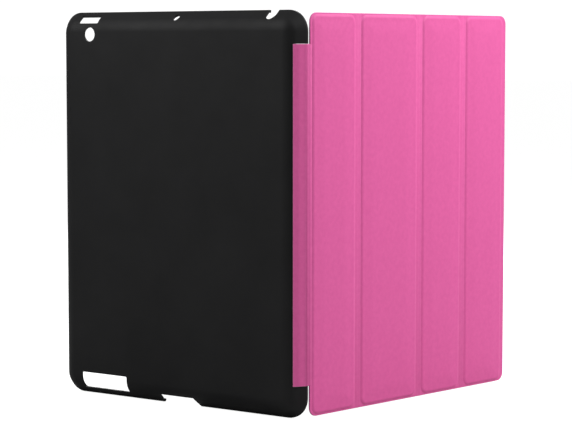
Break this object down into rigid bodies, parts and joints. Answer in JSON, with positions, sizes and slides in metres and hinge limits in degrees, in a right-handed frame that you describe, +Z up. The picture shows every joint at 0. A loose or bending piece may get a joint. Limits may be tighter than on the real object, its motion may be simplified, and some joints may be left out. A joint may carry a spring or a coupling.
{
  "type": "tablet case",
  "caption": "Folding tablet case: a hard back shell with cut-outs and a panelled cover hinged along its side that closes, opens and folds into a stand.",
  "frame": {"origin": "middle of the whole object's box, on the surface that it stands on", "axes": "+Z up, the shell's back faces -Y, the open cover stands on the +X side with its outer face towards +X"},
  "size_m": [0.2166, 0.1964, 0.2437],
  "materials": {
    "shell_plastic": "black soft-touch coating, satin",
    "cover_skin": "pink polyurethane leather, fine grain, satin",
    "microfibre": "light grey brushed microfibre",
    "stiff_board": "glass-fibre board, unfinished",
    "steel_plate": "rolled steel",
    "magnet_metal": "nickel plated"
  },
  "bodies": {
    "shell": {"back_shell": "shell_plastic", "spine_lining": "microfibre", "spine_core": "stiff_board", "spine_skin": "cover_skin"},
    "hinge_strip": {"hinge_skin": "cover_skin", "hinge_lining": "microfibre"},
    "panel_1": {"panel_1_skin": "cover_skin", "panel_1_board": "stiff_board", "panel_1_lining": "microfibre", "stand_plate": "steel_plate"},
    "crease_1": {"crease_1_skin": "cover_skin", "crease_1_lining": "microfibre"},
    "panel_2": {"panel_2_skin": "cover_skin", "panel_2_board": "stiff_board", "panel_2_lining": "microfibre"},
    "crease_2": {"crease_2_skin": "cover_skin", "crease_2_lining": "microfibre"},
    "panel_3": {"panel_3_skin": "cover_skin", "panel_3_board": "stiff_board", "panel_3_lining": "microfibre"},
    "crease_3": {"crease_3_skin": "cover_skin", "crease_3_lining": "microfibre"},
    "panel_4": {"panel_4_skin": "cover_skin", "panel_4_board": "stiff_board", "panel_4_lining": "microfibre", "edge_magnets": "magnet_metal", "sleep_magnet": "magnet_metal"}
  },
  "joints": [
    {"name": "cover_hinge_rear", "type": "hinge", "parent": "shell", "child": "hinge_strip", "pos_m": [0.07956, -0.08878, 0.12185], "axis": [0, 0, -1], "range_deg": [-49.15, 92]},
    {"name": "cover_hinge_front", "type": "hinge", "parent": "hinge_strip", "child": "panel_1", "pos_m": [0.08038, -0.08696, 0.12185], "axis": [0, 0, -1], "range_deg": [-49.15, 92]},
    {"name": "fold_1_near", "type": "hinge", "parent": "panel_1", "child": "crease_1", "pos_m": [0.08623, -0.04688, 0.12185], "axis": [0, 0, 1], "range_deg": [-45, 64.7]},
    {"name": "fold_1_far", "type": "hinge", "parent": "crease_1", "child": "panel_2", "pos_m": [0.08666, -0.04391, 0.12185], "axis": [0, 0, 1], "range_deg": [-45, 64.7]},
    {"name": "fold_2_near", "type": "hinge", "parent": "panel_2", "child": "crease_2", "pos_m": [0.09454, 0.01011, 0.12185], "axis": [0, 0, 1], "range_deg": [-45, 63.6]},
    {"name": "fold_2_far", "type": "hinge", "parent": "crease_2", "child": "panel_3", "pos_m": [0.09498, 0.01308, 0.12185], "axis": [0, 0, 1], "range_deg": [-45, 63.6]},
    {"name": "fold_3_near", "type": "hinge", "parent": "panel_3", "child": "crease_3", "pos_m": [0.10075, 0.05266, 0.12185], "axis": [0, 0, 1], "range_deg": [-45, 51.7]},
    {"name": "fold_3_far", "type": "hinge", "parent": "crease_3", "child": "panel_4", "pos_m": [0.10118, 0.05563, 0.12185], "axis": [0, 0, 1], "range_deg": [-45, 51.7]}
  ]
}
